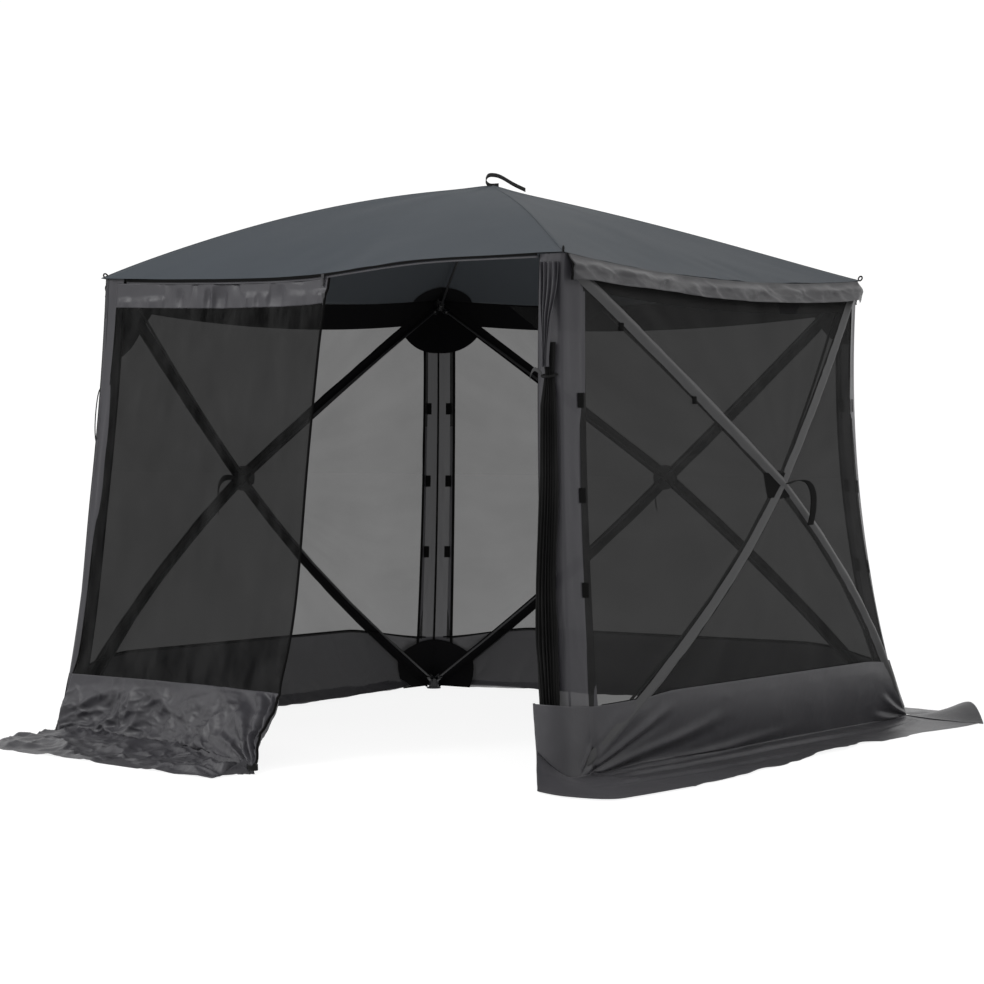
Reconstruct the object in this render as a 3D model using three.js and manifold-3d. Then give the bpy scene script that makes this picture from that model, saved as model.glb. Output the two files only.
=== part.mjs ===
// Pop-up screen house: a hub-and-pole shelter with three mesh walls, a door wall and a
// pyramid roof. Millimetres, +Z up, origin on the ground at the middle of the footprint.
// +X is the east wall, +Y the north wall, -X the west wall and -Y the door wall.
import * as THREE from 'three';
import { mergeVertices } from 'three/addons/utils/BufferGeometryUtils.js';
import Module from 'manifold-3d';

const wasm = await Module();
wasm.setup();

// Driving dimensions
const TOP_HALF = 1120;        // half the width of the fabric box at the eave
const BASE_HALF = 1270;       // half the width at the ground
const EAVE_HEIGHT = 1865;
const PEAK_HEIGHT = 2260;
const HUB_OUT = 1400;         // wall fabric apex, from the centre
const HUB_HEIGHT = 1030;      // height of the wall hubs
const CORNER_DRAW = 50;       // how far a corner edge is drawn in at mid-height
const EAVE_SAG = { east: 66, north: 60, west: 60, south: 10 };
const EAVE_OVERHANG = 12;
const TOP_BOW = 14;           // bow of the poles above a wall hub
const LOW_BOW = 76;           // bow of the longer poles below it
const ROOF_BOW = { se: 42, ne: 26, nw: 42, sw: 76 };  // one side of the roof is pitched fuller
const FABRIC = 1.6;           // thickness of every sheet of fabric
const SKIRT_HEIGHT = 250;
const COLUMN_WIDTH = 100;
const BAND_HEIGHT = 100;
const HEADER_HEIGHT = 28;
const SEAM_GAP = 3;

const POLE_RADIUS = 5.5;
const FERRULE_RADIUS = 7;
const FERRULE_LENGTH = 42;
const EYE_RADIUS = 8;
const EYE_WIDTH = 10;
const EYE_HOLE = 3.2;
const PIN_RADIUS = 2.6;
const PIVOT_REACH = 45;       // from a corner fitting's centre to a pole's pivot
const FITTING_INSET = 42;     // fitting centre, in from the fabric corner
const FITTING_DROP = 28;      // top fitting centre, below the eave
const FOOT_LIFT = 30;         // foot fitting centre, above the ground
const FITTING_RADIUS = 24;
const FOOT_RADIUS = 34;

const HUB_RADIUS = 80;        // roof hub's disc
const WALL_HUB_RADIUS = 56;   // wall hubs' discs
const HUB_SINK = 30;          // pole plane at the hub, inside the fabric apex
const SLOT_WIDTH = 18;
const HUB_CAP = 26;           // radius of the cap that joins a hub's quarters
const WALL_TIP = 40;          // pole tip to hub axis, walls
const ROOF_TIP = 74;          // pole tip to hub axis, roof
const HOLE_HALF = 92;         // fabric opening round a hub
const GORE_LENGTH = { side: 1150, top: 850, bottom: 1050 };   // from a gore's edge to the hub

const SIDES = ['east', 'north', 'west', 'south'];
const HUB_SIDES = ['east', 'north', 'west'];
const CORNERS = { se: [1, -1], ne: [1, 1], nw: [-1, 1], sw: [-1, -1] };

const material = (name, color, roughness, metalness = 0) =>
  new THREE.MeshStandardMaterial({ name, color, roughness, metalness });
const MATERIALS = {
  roof: material('roof_fabric', 0x4a5056, 0.75),
  fabric: material('grey_fabric', 0x46454a, 0.8),
  mesh: material('mosquito_mesh', 0x1c1b1f, 0.9),
  pole: material('fibreglass', 0x2a2a2c, 0.45),
  plastic: material('black_plastic', 0x151517, 0.5),
  webbing: material('webbing', 0x0e0e10, 0.85),
};

const model = new THREE.Group();

function addPart(name, geometry, look) {
  const mesh = new THREE.Mesh(geometry, MATERIALS[look]);
  mesh.name = name;
  model.add(mesh);
}

// Solids -------------------------------------------------------------------------------

function toSolid(geometry) {
  const bare = geometry.index ? geometry.toNonIndexed() : geometry.clone();
  bare.deleteAttribute('normal');
  bare.deleteAttribute('uv');
  const merged = mergeVertices(bare, 1e-3);
  const vertProperties = new Float32Array(merged.attributes.position.array);
  const triVerts = new Uint32Array(merged.index.array);
  return new wasm.Manifold(new wasm.Mesh({ numProp: 3, vertProperties, triVerts }));
}

function toGeometry(solid) {
  const { vertProperties, triVerts } = solid.getMesh();
  const geometry = new THREE.BufferGeometry();
  geometry.setAttribute('position', new THREE.BufferAttribute(vertProperties, 3));
  geometry.setIndex(new THREE.BufferAttribute(triVerts, 1));
  return geometry;
}

// A cylinder of a given length, centred on a point, along a direction.
function rod(centre, direction, radius, length, sides = 12) {
  const geometry = new THREE.CylinderGeometry(radius, radius, length, sides);
  const up = new THREE.Vector3(0, 1, 0);
  const turn = new THREE.Quaternion().setFromUnitVectors(up, direction.clone().normalize());
  return geometry.applyQuaternion(turn).translate(centre.x, centre.y, centre.z);
}

// A box with its sides along three directions at right angles.
function block(centre, along, across, through, size) {
  const basis = new THREE.Matrix4().makeBasis(along, across, through).setPosition(centre);
  return new THREE.BoxGeometry(size.x, size.y, size.z).applyMatrix4(basis);
}

// Closed surface from two matching grids of points, joined round their edges.
function closedShell(outer, inner, ring) {
  const rows = outer.length;
  const columns = outer[0].length;
  const position = [...outer.flat(), ...inner.flat()].flatMap((p) => [p.x, p.y, p.z]);
  const half = rows * columns;
  const at = (i, j) => i * columns + (j % columns);
  const index = [];
  const quad = (a, b, c, d) => index.push(a, b, c, a, c, d);
  const steps = ring ? columns : columns - 1;
  for (let i = 0; i < rows - 1; i += 1) {
    for (let j = 0; j < steps; j += 1) {
      quad(at(i, j), at(i, j + 1), at(i + 1, j + 1), at(i + 1, j));
      quad(half + at(i, j), half + at(i + 1, j), half + at(i + 1, j + 1), half + at(i, j + 1));
    }
  }
  for (let j = 0; j < steps; j += 1) {
    quad(at(0, j + 1), at(0, j), half + at(0, j), half + at(0, j + 1));
    const last = rows - 1;
    quad(at(last, j), at(last, j + 1), half + at(last, j + 1), half + at(last, j));
  }
  for (let i = 0; i < rows - 1 && !ring; i += 1) {
    const last = columns - 1;
    quad(at(i, 0), at(i + 1, 0), half + at(i + 1, 0), half + at(i, 0));
    quad(at(i + 1, last), at(i, last), half + at(i, last), half + at(i + 1, last));
  }
  const geometry = new THREE.BufferGeometry();
  geometry.setAttribute('position', new THREE.Float32BufferAttribute(position, 3));
  geometry.setIndex(index);
  return faceOut(geometry);
}

// Turns every triangle round when the surface encloses a negative volume.
function faceOut(geometry) {
  const p = geometry.attributes.position;
  const index = geometry.index.array;
  const corner = (k) => new THREE.Vector3().fromBufferAttribute(p, index[k]);
  let volume = 0;
  for (let k = 0; k < index.length; k += 3) {
    volume += corner(k).dot(corner(k + 1).cross(corner(k + 2)));
  }
  if (volume < 0) {
    for (let k = 0; k < index.length; k += 3) {
      [index[k + 1], index[k + 2]] = [index[k + 2], index[k + 1]];
    }
  }
  return geometry;
}

// A sheet of fabric: a grid of points on its middle surface, thickened both ways.
function sheet(grid, ring = false) {
  const rows = grid.length;
  const columns = grid[0].length;
  const clamp = (k, last) => Math.min(Math.max(k, 0), last);
  const column = (j) => (ring ? (j + columns) % columns : clamp(j, columns - 1));
  const normal = (i, j) => {
    const down = grid[clamp(i + 1, rows - 1)][j].clone().sub(grid[clamp(i - 1, rows - 1)][j]);
    const along = grid[i][column(j + 1)].clone().sub(grid[i][column(j - 1)]);
    return along.cross(down).normalize();
  };
  const shifted = (offset) =>
    grid.map((row, i) => row.map((p, j) => p.clone().addScaledVector(normal(i, j), offset)));
  return closedShell(shifted(FABRIC / 2), shifted(-FABRIC / 2), ring);
}

const span = (from, to, count) =>
  Array.from({ length: count + 1 }, (_, k) => from + ((to - from) * k) / count);

// The walls ----------------------------------------------------------------------------
// A wall is described as if it were the east one, x outward and y along it, then turned.

const turnOf = (side) => (SIDES.indexOf(side) * Math.PI) / 2;
const placed = (point, side) => point.applyAxisAngle(new THREE.Vector3(0, 0, 1), turnOf(side));
const arch = (t) => 4 * t * (1 - t);

// Half-width of the fabric box at a height, drawn in between eave and ground.
function cornerHalf(z) {
  const slope = ((BASE_HALF - TOP_HALF) * z) / EAVE_HEIGHT;
  return BASE_HALF - slope - CORNER_DRAW * arch(z / EAVE_HEIGHT);
}

// Fabric over a pole, from a corner (t = 0) to the hub (t = 1); hand is -1 left, 1 right.
function ridge(t, hand, top) {
  const half = top ? TOP_HALF : BASE_HALF;
  const height = top ? EAVE_HEIGHT : 0;
  const start = new THREE.Vector3(half, hand * half, height);
  const end = new THREE.Vector3(HUB_OUT, 0, HUB_HEIGHT);
  const bow = top ? TOP_BOW : LOW_BOW;
  return start.lerp(end, t).add(new THREE.Vector3(bow * arch(t), 0, 0));
}

// The four gores of a wall: t from the wall's edge to the hub, s along the edge.
function goreSide(t, s, hand) {
  const drawn = cornerHalf(s * EAVE_HEIGHT);
  const straight = BASE_HALF + (TOP_HALF - BASE_HALF) * s;
  const pull = (drawn - straight) * (1 - t);
  return ridge(t, hand, false).lerp(ridge(t, hand, true), s)
    .add(new THREE.Vector3(pull, hand * pull, 0));
}

function goreTop(t, s, sag) {
  return ridge(t, -1, true).lerp(ridge(t, 1, true), s)
    .add(new THREE.Vector3(0, 0, -sag * arch(s) * (1 - t)));
}

function goreBottom(t, s) {
  return ridge(t, -1, false).lerp(ridge(t, 1, false), s);
}

const EDGE = 0.006;                                   // seam allowance along a ridge
const COLUMN_T = COLUMN_WIDTH / BASE_HALF;
const SKIRT_TOP = SKIRT_HEIGHT + SEAM_GAP;

// Lowest s on a side gore that stays above the skirt.
function skirtLine(t, hand) {
  const low = ridge(t, hand, false).z;
  const high = ridge(t, hand, true).z;
  return Math.max(EDGE, (SKIRT_TOP - low) / (high - low));
}

function meshPanels(side) {
  const sag = EAVE_SAG[side];
  const skirtT = SKIRT_TOP / HUB_HEIGHT;
  const end = (gore) => 1 - HOLE_HALF / GORE_LENGTH[gore];
  for (const [name, hand] of [['left', -1], ['right', 1]]) {
    const rows = [COLUMN_T + 0.004, 0.16, skirtT, 0.45, 0.68, end('side')];
    const grid = rows.map((t) => span(skirtLine(t, hand), 1 - EDGE, 5)
      .map((s) => placed(goreSide(t, s, hand), side)));
    addPart(`mesh_${side}_${name}`, sheet(grid), 'mesh');
  }
  const top = span(EDGE, end('top'), 4)
    .map((t) => span(EDGE, 1 - EDGE, 6).map((s) => placed(goreTop(t, s, sag), side)));
  addPart(`mesh_${side}_top`, sheet(top), 'mesh');
  const bottom = span(skirtT, end('bottom'), 3)
    .map((t) => span(EDGE, 1 - EDGE, 2).map((s) => placed(goreBottom(t, s), side)));
  addPart(`mesh_${side}_bottom`, sheet(bottom), 'mesh');
}

// Skirt: an opaque strip up the foot of a wall, and a flap that lies out on the ground.
function skirt(side, reach) {
  const wallRow = (z) => {
    const corner = cornerHalf(z);
    const fold = ridge(z / HUB_HEIGHT, 1, false);
    const edge = corner - SEAM_GAP;
    const ends = (hand) => new THREE.Vector3(corner, hand * edge, z);
    const folds = (hand) => new THREE.Vector3(fold.x, hand * fold.y, z);
    const middle = [-0.5, 0, 0.5].map((f) => new THREE.Vector3(fold.x, f * fold.y, z));
    return [ends(-1), folds(-1), ...middle, folds(1), ends(1)];
  };
  const groundRow = (f) => [-1, -0.97, -0.5, 0, 0.5, 0.97, 1].map((u) => {
    const out = BASE_HALF + 14 + (reach(Math.abs(u)) - BASE_HALF - 14) * f;
    return new THREE.Vector3(out, u * (out - 2 * SEAM_GAP), FABRIC / 2);
  });
  const rows = [...[SKIRT_HEIGHT, 160, 80, 14].map(wallRow), ...[0, 0.5, 1].map(groundRow)];
  addPart(`skirt_${side}`, sheet(rows.map((row) => row.map((p) => placed(p, side)))), 'fabric');
}

// Column: fabric strips either side of a corner edge, up to the eave from the skirt, or
// from the ground on the door's side.
function column(name, [signX, signY]) {
  const points = (f) => {
    const onWall = (t) => {
      const from = skirtLine(t, 1);
      return goreSide(t, from + (0.992 - from) * f, 1);
    };
    const onDoor = (d) => {
      const z = 12 + (EAVE_HEIGHT - 24) * f;
      return new THREE.Vector3(cornerHalf(z), cornerHalf(z) - d, z);
    };
    const strip = [COLUMN_T, COLUMN_T / 2];
    const first = strip.map(onWall);
    const edge = onWall(0);
    const second = signY > 0 ? strip.map(onWall) : [COLUMN_WIDTH, COLUMN_WIDTH / 2].map(onDoor);
    const mirrored = second.reverse().map((p) => new THREE.Vector3(p.y, p.x, p.z));
    return [...first, edge, ...mirrored]
      .map((p) => new THREE.Vector3(signX * p.x, signY * p.y, p.z));
  };
  addPart(`column_${name}`, sheet(span(0, 1, 8).map(points)), 'fabric');
}

// Eave band: a short valance over the top of a wall.
function eaveBand(side) {
  const off = 8;
  const reach = BAND_HEIGHT / (EAVE_HEIGHT - HUB_HEIGHT);
  const inset = (COLUMN_WIDTH + SEAM_GAP) / (2 * TOP_HALF);
  const grid = [0.008, reach / 2, reach].map((t) => span(inset, 1 - inset, 8).map((s) => {
    const point = goreTop(t, s, EAVE_SAG[side]);
    return placed(point.add(new THREE.Vector3(off, 0, off / 4)), side);
  }));
  addPart(`eave_band_${side}`, sheet(grid), 'fabric');
}

// Roof ---------------------------------------------------------------------------------

function roofPoint(t, s, side) {
  const half = (TOP_HALF + EAVE_OVERHANG) * (1 - t);
  const [from, to] = [0, 1].map((k) => Object.values(ROOF_BOW)[(SIDES.indexOf(side) + k) % 4]);
  const bow = from + (to - from) * s;
  const rise = EAVE_HEIGHT + (PEAK_HEIGHT - EAVE_HEIGHT) * t + bow * arch(t);
  const sag = EAVE_SAG[side] * arch(s) * (1 - t) ** 2;
  return placed(new THREE.Vector3(half, (2 * s - 1) * half, rise - sag), side);
}

function roofCanopy() {
  const last = 1 - HOLE_HALF / TOP_HALF;
  const rings = span(0, last, 7).map((t) => SIDES.flatMap((side) =>
    span(0, 1, 6).slice(0, -1).map((s) => roofPoint(t, s, side))));
  addPart('roof_canopy', sheet(rings, true), 'roof');
}

// Frame --------------------------------------------------------------------------------

// The plane a hub moves across: its centre, outward direction, and the pivots of its poles.
function hubFrame(side) {
  if (side === 'roof') {
    return {
      centre: new THREE.Vector3(0, 0, PEAK_HEIGHT - HUB_SINK),
      out: new THREE.Vector3(0, 0, 1),
      up: new THREE.Vector3(0, 1, 0),
      fittings: Object.entries(CORNERS).map(([name, signs]) => [name, topFitting(signs)]),
      bow: (name) => ROOF_BOW[name],
      tip: ROOF_TIP,
    };
  }
  const inner = TOP_HALF - FITTING_INSET;
  const lower = BASE_HALF - FITTING_INSET;
  const height = EAVE_HEIGHT - FITTING_DROP - FOOT_LIFT;
  const out = new THREE.Vector3(height, 0, lower - inner).normalize();
  const names = { left: -1, right: 1 };
  const fittings = Object.entries(names).flatMap(([name, hand]) => [
    [`top_${name}`, new THREE.Vector3(inner, hand * inner, EAVE_HEIGHT - FITTING_DROP)],
    [`bottom_${name}`, new THREE.Vector3(lower, hand * lower, FOOT_LIFT)],
  ]);
  return {
    centre: placed(new THREE.Vector3(HUB_OUT - HUB_SINK, 0, HUB_HEIGHT), side),
    out: placed(out, side),
    up: new THREE.Vector3(0, 0, 1),
    fittings: fittings.map(([name, point]) => [name, placed(point, side)]),
    bow: (name) => (name.startsWith('top') ? TOP_BOW : LOW_BOW),
    tip: WALL_TIP,
  };
}

function topFitting([signX, signY]) {
  const half = TOP_HALF - FITTING_INSET;
  return new THREE.Vector3(signX * half, signY * half, EAVE_HEIGHT - FITTING_DROP);
}

function footFitting([signX, signY]) {
  const half = BASE_HALF - FITTING_INSET;
  return new THREE.Vector3(signX * half, signY * half, FOOT_LIFT);
}

// Where a pole turns: its pivot, its pin's direction, and its run across the hub's plane.
function poleFrame(hub, fitting) {
  const inward = hub.centre.clone().sub(fitting);
  const run = inward.addScaledVector(hub.out, -inward.dot(hub.out)).normalize();
  const pivot = fitting.clone().addScaledVector(run, PIVOT_REACH);
  const pin = new THREE.Vector3().crossVectors(run, hub.out).normalize();
  return { run, pivot, pin, fitting };
}

const poles = [];                                     // every pole's frame, for the fittings

function makePole(name, hub, fitting, bow) {
  const frame = poleFrame(hub, fitting);
  poles.push({ name, hub, ...frame });
  const line = hub.centre.clone().sub(frame.pivot);
  const tip = hub.centre.clone().addScaledVector(line.clone().normalize(), -hub.tip);
  const middle = frame.pivot.clone().lerp(tip, 0.5).addScaledVector(hub.out, 2 * bow);
  const curve = new THREE.QuadraticBezierCurve3(frame.pivot, middle, tip);
  const section = new THREE.Shape();
  section.absarc(0, 0, POLE_RADIUS, 0, 2 * Math.PI);
  const tube = new THREE.ExtrudeGeometry(section, {
    steps: 5, curveSegments: 4, bevelEnabled: false, extrudePath: curve,
  });
  const back = curve.getTangent(1).negate();
  const ferruleCentre = tip.clone().addScaledVector(back, FERRULE_LENGTH / 2);
  const ferrule = rod(ferruleCentre, back, FERRULE_RADIUS, FERRULE_LENGTH, 8);
  const eye = rod(frame.pivot, frame.pin, EYE_RADIUS, EYE_WIDTH, 10);
  const hole = rod(frame.pivot, frame.pin, EYE_HOLE, 4 * EYE_WIDTH, 8);
  const solid = toSolid(tube).add(toSolid(ferrule)).add(toSolid(eye)).subtract(toSolid(hole));
  addPart(name, toGeometry(solid), 'pole');
}

// A hub: a slotted disc whose quarters hang from a round cap, with a slot for each pole.
function makeHub(name, hub) {
  const thick = 28;
  const capBase = 13;
  const capTop = 19;
  const radius = name === 'hub_roof' ? HUB_RADIUS : WALL_HUB_RADIUS;
  let solid = toSolid(rod(hub.centre, hub.out, radius, thick, 28));
  for (const [, fitting] of hub.fittings) {
    const { run, pin } = poleFrame(hub, fitting);
    const middle = hub.centre.clone().addScaledVector(run, -radius / 2 - 10);
    const size = new THREE.Vector3(radius + 20, 2 * thick, SLOT_WIDTH);
    const slot = block(middle, run.clone(), hub.out.clone(), pin.clone(), size);
    solid = solid.subtract(toSolid(slot));
  }
  const bore = rod(hub.centre, hub.out, 14, 2 * thick, 8);
  solid = solid.subtract(toSolid(bore));
  const capMiddle = hub.centre.clone().addScaledVector(hub.out, (capBase + capTop) / 2);
  const cap = toSolid(rod(capMiddle, hub.out, HUB_CAP, capTop - capBase, 20));
  addPart(name, toGeometry(solid.add(cap)), 'plastic');
}

// A pull strap of webbing along a path given as run, rise and lift from the hub's centre.
function makeStrap(name, hub, across, points) {
  const side = new THREE.Vector3().crossVectors(hub.up, hub.out).normalize();
  const up = new THREE.Vector3().crossVectors(hub.out, side).normalize();
  const route = points.map(([run, rise, lift]) => hub.centre.clone()
    .addScaledVector(side, run).addScaledVector(up, rise).addScaledVector(hub.out, lift));
  const curve = new THREE.CatmullRomCurve3(route, false, 'centripetal');
  const width = 25;
  const thickness = 2.5;
  const wide = up.clone().multiplyScalar(across[1]).addScaledVector(side, across[0]).normalize();
  const steps = 14;
  const outer = [];
  const inner = [];
  for (const k of span(0, 1, steps)) {
    const point = curve.getPoint(k);
    const normal = curve.getTangent(k).cross(wide).normalize();
    const ends = (offset) => [-width / 2, width / 2].map((w) => point.clone()
      .addScaledVector(wide, w).addScaledVector(normal, offset));
    outer.push(ends(thickness / 2));
    inner.push(ends(-thickness / 2));
  }
  addPart(name, closedShell(outer, inner, false), 'webbing');
}

// Corner fitting: a round body with a fork and a pin for each pole that ends in it.
function makeFitting(name, centre, isFoot) {
  const vertical = new THREE.Vector3(0, 0, 1);
  const height = isFoot ? FOOT_LIFT + 18 : 46;
  const middle = isFoot ? new THREE.Vector3(centre.x, centre.y, height / 2) : centre;
  let solid = toSolid(rod(middle, vertical, FITTING_RADIUS, height, 12));
  if (isFoot) {
    const base = new THREE.Vector3(centre.x, centre.y, 3);
    solid = solid.add(toSolid(rod(base, vertical, FOOT_RADIUS, 6, 16)));
  }
  const cheek = 4;
  const inside = EYE_WIDTH / 2 + 2.2;
  const length = PIVOT_REACH + 10;
  for (const pole of poles.filter((p) => p.fitting.distanceTo(centre) < 1)) {
    const { run, pin, pivot, hub } = pole;
    for (const hand of [-1, 1]) {
      const place = centre.clone().addScaledVector(run, length / 2)
        .addScaledVector(pin, hand * (inside + cheek / 2));
      const size = new THREE.Vector3(length, 18, cheek);
      solid = solid.add(toSolid(block(place, run.clone(), hub.out.clone(), pin.clone(), size)));
    }
    solid = solid.add(toSolid(rod(pivot, pin, PIN_RADIUS, 2 * (inside + cheek) + 3, 6)));
  }
  if (isFoot) {
    const size = new THREE.Vector3(400, 400, 100);
    const under = new THREE.BoxGeometry(size.x, size.y, size.z);
    solid = solid.subtract(toSolid(under.translate(centre.x, centre.y, -size.z / 2)));
  }
  addPart(name, toGeometry(solid), 'plastic');
}

// Door wall ----------------------------------------------------------------------------

const doorPlane = (z) => -(BASE_HALF - ((BASE_HALF - TOP_HALF) * z) / EAVE_HEIGHT);

// Left half of the door: zipped at the eave, its free edge pulled out over the ground.
function doorFlap() {
  const outAt = (z) => 520 * Math.exp(-z / 330);       // how far the free edge stands out
  const freeX = (z) => 30 + 200 * Math.exp(-z / 160);
  const seamX = (z) => COLUMN_WIDTH + SEAM_GAP - cornerHalf(z);
  const lift = 3.4;                                    // passes over a skirt when it swings
  const front = { left: -760, step: 165, reach: 1950, drawn: 200 };
  const hang = (z) => span(0, 1, 6).map((f) => {
    const x = seamX(z) + (freeX(z) - seamX(z)) * f;
    return new THREE.Vector3(x, doorPlane(z) - outAt(z) * f ** 2, z);
  });
  const foot = hang(16);
  const lying = (k) => foot.map((p, j) => {
    const reach = front.reach - front.drawn * (1 - j / 6) ** 2;
    const far = new THREE.Vector3(front.left + j * front.step, -reach, lift);
    return new THREE.Vector3(p.x, p.y - 14, lift).lerp(far, k);
  });
  const heights = [EAVE_HEIGHT - 44, 1450, 1000, 650, 400, 260, 150, 60];
  const grid = [...heights.map(hang), foot, lying(0), lying(0.5), lying(1)];
  addPart('door_flap_left', sheet(grid), 'mesh');
}

// Right half of the door: gathered and tied back against the corner column.
function doorBundle() {
  const waist = [                                      // height, radius
    [1825, 20], [1640, 34], [1450, 22], [1260, 36], [1000, 38], [740, 24],
    [520, 40], [300, 46], [130, 62], [40, 84], [0.2, 92],
  ];
  const sides = 10;
  const rings = waist.map(([z, radius]) => {
    const x = cornerHalf(z) - 62;
    const y = -(cornerHalf(z) + radius + 5);
    return span(0, 2 * Math.PI, sides).slice(0, -1).map((a) =>
      new THREE.Vector3(x + radius * Math.cos(a), y + radius * Math.sin(a), z));
  });
  const position = rings.flat().flatMap((p) => [p.x, p.y, p.z]);
  const index = [];
  for (let i = 0; i < rings.length - 1; i += 1) {
    for (let j = 0; j < sides; j += 1) {
      const next = (j + 1) % sides;
      const a = i * sides;
      const b = a + sides;
      index.push(a + j, a + next, b + next, a + j, b + next, b + j);
    }
  }
  const last = (rings.length - 1) * sides;
  for (let j = 1; j < sides - 1; j += 1) {
    index.push(0, j + 1, j);
    index.push(last, last + j, last + j + 1);
  }
  const geometry = new THREE.BufferGeometry();
  geometry.setAttribute('position', new THREE.Float32BufferAttribute(position, 3));
  geometry.setIndex(index);
  addPart('door_bundle_right', faceOut(geometry), 'mesh');
}

// Header: the strip along the door eave that carries the top zip.
function doorHeader() {
  const inset = (COLUMN_WIDTH + SEAM_GAP) / (2 * TOP_HALF);
  const grid = [5, HEADER_HEIGHT / 2, HEADER_HEIGHT].map((drop) =>
    span(inset, 1 - inset, 6).map((s) => {
      const z = EAVE_HEIGHT - drop - EAVE_SAG.south * arch(s);
      return new THREE.Vector3((2 * s - 1) * TOP_HALF, doorPlane(z) - 8, z);
    }));
  addPart('door_header', sheet(grid), 'fabric');
}

// Zip slider with its pull tab, hanging straight down.
function zipSlider(name, centre) {
  const tabLength = 34;
  const overlap = 3;                                   // tab's top, up inside the body
  const body = new THREE.BoxGeometry(14, 7, 16).translate(centre.x, centre.y, centre.z);
  const tabMiddle = centre.z - 8 + overlap - tabLength / 2;
  const tab = new THREE.BoxGeometry(8, 2.5, tabLength).translate(centre.x, centre.y - 2, tabMiddle);
  addPart(name, toGeometry(toSolid(body).add(toSolid(tab))), 'plastic');
}

// Assembly -----------------------------------------------------------------------------

const WALL_STRAP = [[0, 4, 21.5], [42, 2, 26], [78, -2, 48], [96, -30, 60], [98, -90, 62], [92, -160, 60]];
const ROOF_STRAP = [
  [34, 0, 21], [-30, 0, 23], [-76, 0, 34], [-86, 0, 62], [-60, 0, 78], [0, 0, 66], [60, 0, 42], [96, 0, 22],
];

for (const side of ['roof', ...HUB_SIDES]) {
  const hub = hubFrame(side);
  for (const [name, fitting] of hub.fittings) {
    makePole(`pole_${side}_${name}`, hub, fitting, hub.bow(name));
  }
  makeHub(`hub_${side}`, hub);
  const roof = side === 'roof';
  makeStrap(`strap_${side}`, hub, roof ? [0, 1] : [0.35, 1], roof ? ROOF_STRAP : WALL_STRAP);
}

for (const [name, signs] of Object.entries(CORNERS)) {
  makeFitting(`corner_${name}`, topFitting(signs), false);
  makeFitting(`foot_${name}`, footFitting(signs), true);
  column(name, signs);
}

const sideReach = (u) => 1545 + 155 * u ** 2;
const backReach = (u) => 1950 - 230 * Math.abs(u) ** 3;
for (const side of HUB_SIDES) {
  meshPanels(side);
  skirt(side, side === 'north' ? backReach : sideReach);
  eaveBand(side);
}

roofCanopy();
doorFlap();
doorBundle();
doorHeader();
const topZip = EAVE_HEIGHT - 30;
const edgeZip = EAVE_HEIGHT - 105;
zipSlider('zip_slider_top', new THREE.Vector3(20, doorPlane(topZip) - 15, topZip));
zipSlider('zip_slider_centre', new THREE.Vector3(34, doorPlane(edgeZip) - 22, edgeZip));

export default model;
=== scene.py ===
"""Pop-up screen house: the fabric, webbing and finishes, built round the CAD frame.

Metres, +Z up, the CAD model's own frame: +X east wall, +Y north, -X west, -Y door wall.
"""

import math

import bpy
import numpy as np
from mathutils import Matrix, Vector


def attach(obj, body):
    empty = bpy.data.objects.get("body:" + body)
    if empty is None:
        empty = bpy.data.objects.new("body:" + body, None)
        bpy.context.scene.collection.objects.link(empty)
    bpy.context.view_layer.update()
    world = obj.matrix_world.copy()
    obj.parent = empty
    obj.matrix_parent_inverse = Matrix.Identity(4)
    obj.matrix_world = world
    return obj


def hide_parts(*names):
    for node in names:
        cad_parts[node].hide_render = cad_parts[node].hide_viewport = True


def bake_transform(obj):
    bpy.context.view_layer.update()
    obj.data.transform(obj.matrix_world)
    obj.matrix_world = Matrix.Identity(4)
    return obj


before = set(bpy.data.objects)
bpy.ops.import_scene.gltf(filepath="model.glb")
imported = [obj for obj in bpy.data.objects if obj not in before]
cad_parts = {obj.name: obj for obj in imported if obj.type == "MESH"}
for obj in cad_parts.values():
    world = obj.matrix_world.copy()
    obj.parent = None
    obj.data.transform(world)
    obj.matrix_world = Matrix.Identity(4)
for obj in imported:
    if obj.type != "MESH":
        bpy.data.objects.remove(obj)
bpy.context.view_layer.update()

# Driving sizes, the same as the CAD model's
TOP_HALF = 1.120
BASE_HALF = 1.270
LEAN = BASE_HALF - TOP_HALF
EAVE = 1.865
PEAK = 2.260
HUB_OUT = 1.400
HUB_HEIGHT = 1.030
OVERHANG = 0.012
SKIRT = 0.250
SKIRT_RISE = {"east": 0.038, "north": 0.055, "west": 0.055}  # upper edge, away from the corners
COLUMN = 0.100
BOW_TOP = 0.014
BOW_BOTTOM = 0.076
ROOF_EDGE = TOP_HALF + OVERHANG
ROOF_BOW = {"se": 0.042, "ne": 0.026, "nw": 0.042, "sw": 0.076}
SAG = {"east": 0.048, "north": 0.060, "west": 0.060, "south": 0.028}  # of the eave, mid-wall
SIDES = ["east", "north", "west", "south"]
HUB_SIDES = SIDES[:3]
HUB_BODIES = ["roof_hub", "east_hub", "north_hub", "west_hub"]
UP = (0, 0, 1.0)
CORNERS = {"se": (1, -1), "ne": (1, 1), "nw": (-1, 1), "sw": (-1, -1)}
DRAW = {"se": 0.050, "ne": 0.060, "nw": 0.050, "sw": 0.024}  # how far a corner is drawn in
RAISED = {"se": 0.020, "ne": 0.020, "nw": 0.0, "sw": 0.0}  # how far the eave is pulled up
PUSHED_OUT = {"se": 0.0, "ne": 0.0, "nw": 0.0, "sw": 0.013}  # how far the cloth stands proud
COLUMN_WIDE = {"se": COLUMN, "ne": COLUMN, "nw": 0.080, "sw": COLUMN}
POLE_PIVOT = 0.05  # share of the way from a corner to a hub where the poles turn
APEX = 0.97  # share of the way to the hub where the gores end, under the sleeves
HUB_PATCH = 0.096
VALANCE = 0.078
BINDING = 0.105  # depth of the black band inside the eave
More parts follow.
